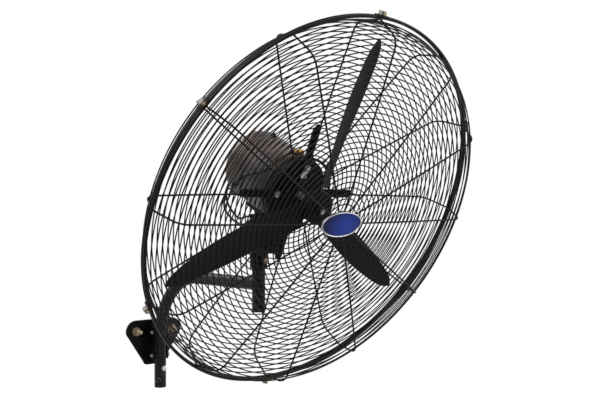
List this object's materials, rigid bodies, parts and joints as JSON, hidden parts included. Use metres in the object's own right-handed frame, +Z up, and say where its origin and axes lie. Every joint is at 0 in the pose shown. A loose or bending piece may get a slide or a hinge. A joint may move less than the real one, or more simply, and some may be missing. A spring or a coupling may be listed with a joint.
{
  "type": "wall mounted fan",
  "caption": "Industrial oscillating fan on a bent tube arm with a rounded triangular wall plate, wire guard and twisted blades.",
  "frame": {"origin": "back face of the wall plate, midway between the two wall studs", "axes": "+Y into the wall, square to the back face; +Z up; the fan faces -Y; +X to the right as the fan is seen from the front"},
  "size_m": [0.8462, 0.8625, 0.8596],
  "materials": {
    "black_paint": "semi-gloss black paint",
    "cast_black": "casting painted black",
    "guard_black": "black powder coated wire",
    "motor_grey": "dark grey brown enamel",
    "bell_black": "black enamel",
    "gearbox_brown": "dark brown black enamel",
    "stay_brown": "dark brown paint",
    "blade_black": "black paint, satin",
    "zinc": "zinc plated, dulled",
    "bright_steel": "bare steel",
    "badge_silver": "bright trim",
    "badge_blue": "deep blue gloss",
    "brass": "yellow brass",
    "lead_rubber": "black rubber",
    "knob_brown": "dark brown plastic"
  },
  "bodies": {
    "wall_arm": {"wall_plate": "black_paint", "channel_bracket": "black_paint", "anchor_stud_left": "zinc", "anchor_stud_right": "zinc", "anchor_nut_left": "zinc", "anchor_nut_right": "zinc", "clamp_bolt_upper": "zinc", "clamp_bolt_lower": "zinc", "clamp_nut_upper": "zinc", "clamp_nut_lower": "zinc", "arm_tube": "black_paint", "retaining_screw": "zinc", "post_tube": "black_paint"},
    "fork": {"tilt_fork": "black_paint", "collar_screw": "zinc", "tilt_bolt": "zinc", "tilt_nut": "zinc"},
    "neck": {"neck": "cast_black", "lock_bolt": "zinc", "lock_nut": "zinc", "link_pin": "bright_steel"},
    "link": {"link_rod": "bright_steel"},
    "head": {"motor_drum": "motor_grey", "motor_bell": "bell_black", "gearbox": "gearbox_brown", "swivel_foot": "cast_black", "lifting_screw": "zinc", "guard_stay_top": "stay_brown", "guard_stay_left": "stay_brown", "guard_stay_bottom": "stay_brown", "guard_stay_right": "stay_brown", "stay_bolt_top": "bright_steel", "stay_bolt_left": "bright_steel", "stay_bolt_bottom": "bright_steel", "stay_bolt_right": "bright_steel", "front_guard": "guard_black", "rear_guard": "guard_black", "rim_clip_90": "guard_black", "rim_clip_30": "guard_black", "rim_clip_m30": "guard_black", "rim_clip_m90": "guard_black", "rim_clip_m150": "guard_black", "rim_clip_150": "guard_black", "badge_rim": "badge_silver", "badge_plate": "badge_blue", "motor_lead": "lead_rubber", "lead_clip": "lead_rubber", "lead_gland": "brass", "lead_loop_outer": "lead_rubber", "lead_loop_inner": "lead_rubber"},
    "rotor": {"rotor_shaft": "bright_steel", "rotor_hub": "cast_black", "hub_nut": "bright_steel", "blade_1": "blade_black", "blade_2": "blade_black", "blade_3": "blade_black"},
    "crank": {"crank": "bright_steel"},
    "knob": {"clutch_knob": "knob_brown"}
  },
  "joints": [
    {"name": "pan", "type": "hinge", "parent": "wall_arm", "child": "fork", "pos_m": [0, -0.436, 0.2], "axis": [0, 0, 1], "range_deg": [-50, 50]},
    {"name": "tilt", "type": "hinge", "parent": "fork", "child": "neck", "pos_m": [0, -0.436, 0.2753], "axis": [1, 0, 0], "range_deg": [-35.3, 0]},
    {"name": "oscillation", "type": "hinge", "parent": "neck", "child": "head", "pos_m": [0, -0.45138, 0.30785], "axis": [0, -0.4274, 0.9041], "range_deg": [-40, 40], "deforming": ["lead_loop_outer", "lead_loop_inner"]},
    {"name": "rotor_spin", "type": "hinge", "parent": "head", "child": "rotor", "pos_m": [0, -0.64096, 0.32], "axis": [0, -0.9041, -0.4274], "continuous": true},
    {"name": "crank_turn", "type": "hinge", "parent": "head", "child": "crank", "pos_m": [0, -0.3644, 0.35781], "axis": [0, -0.4274, 0.9041], "range_deg": [-65, 65]},
    {"name": "link_swing", "type": "hinge", "parent": "neck", "child": "link", "pos_m": [0.0254, -0.45224, 0.30966], "axis": [0, -0.4274, 0.9041], "range_deg": [-41, 41]},
    {"name": "knob_pull", "type": "slide", "parent": "head", "child": "knob", "axis": [0, -0.4274, 0.9041], "range_m": [0, 0.006]}
  ],
  "couplings": [
    {"joint": "crank_turn", "follows": "oscillation", "ratio": -1.601},
    {"joint": "link_swing", "follows": "oscillation", "ratio": 1}
  ]
}
